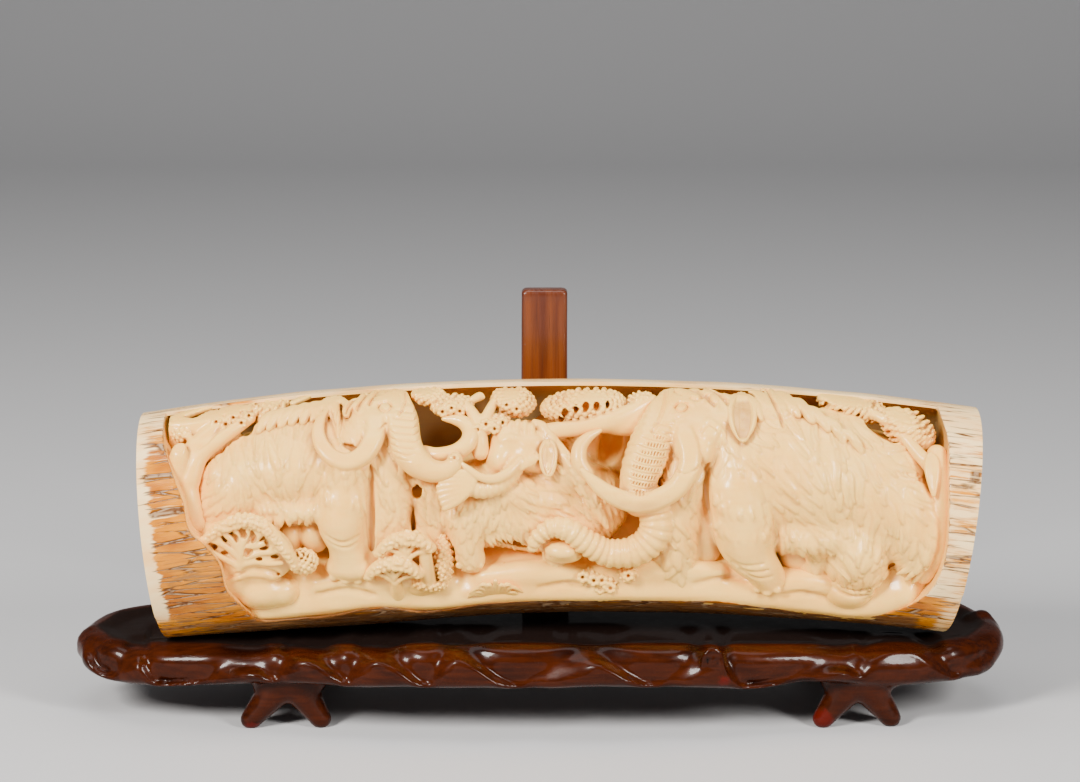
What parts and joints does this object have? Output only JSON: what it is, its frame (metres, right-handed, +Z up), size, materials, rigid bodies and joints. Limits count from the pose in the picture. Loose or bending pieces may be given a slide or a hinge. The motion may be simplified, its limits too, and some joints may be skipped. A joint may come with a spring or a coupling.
{
  "type": "carved mammoth tusk on stand",
  "caption": "Arched section of mammoth tusk, deeply carved with mammoths among trees and coral, resting on a lacquered wooden stand with forked feet and a rear post.",
  "frame": {"origin": "on the surface the stand rests on, below the middle of the whole object's box", "axes": "+X to the right along the tusk as seen from the carved front, +Z up, so the carved front faces -Y"},
  "size_m": [0.5177, 0.1532, 0.226],
  "materials": {
    "tusk_ivory": "polished",
    "lacquered_wood": "gloss lacquer",
    "post_wood": "gloss lacquer"
  },
  "bodies": {
    "root": {"carved_tusk": "tusk_ivory", "stand_base": "lacquered_wood", "stand_post": "post_wood"}
  },
  "joints": []
}
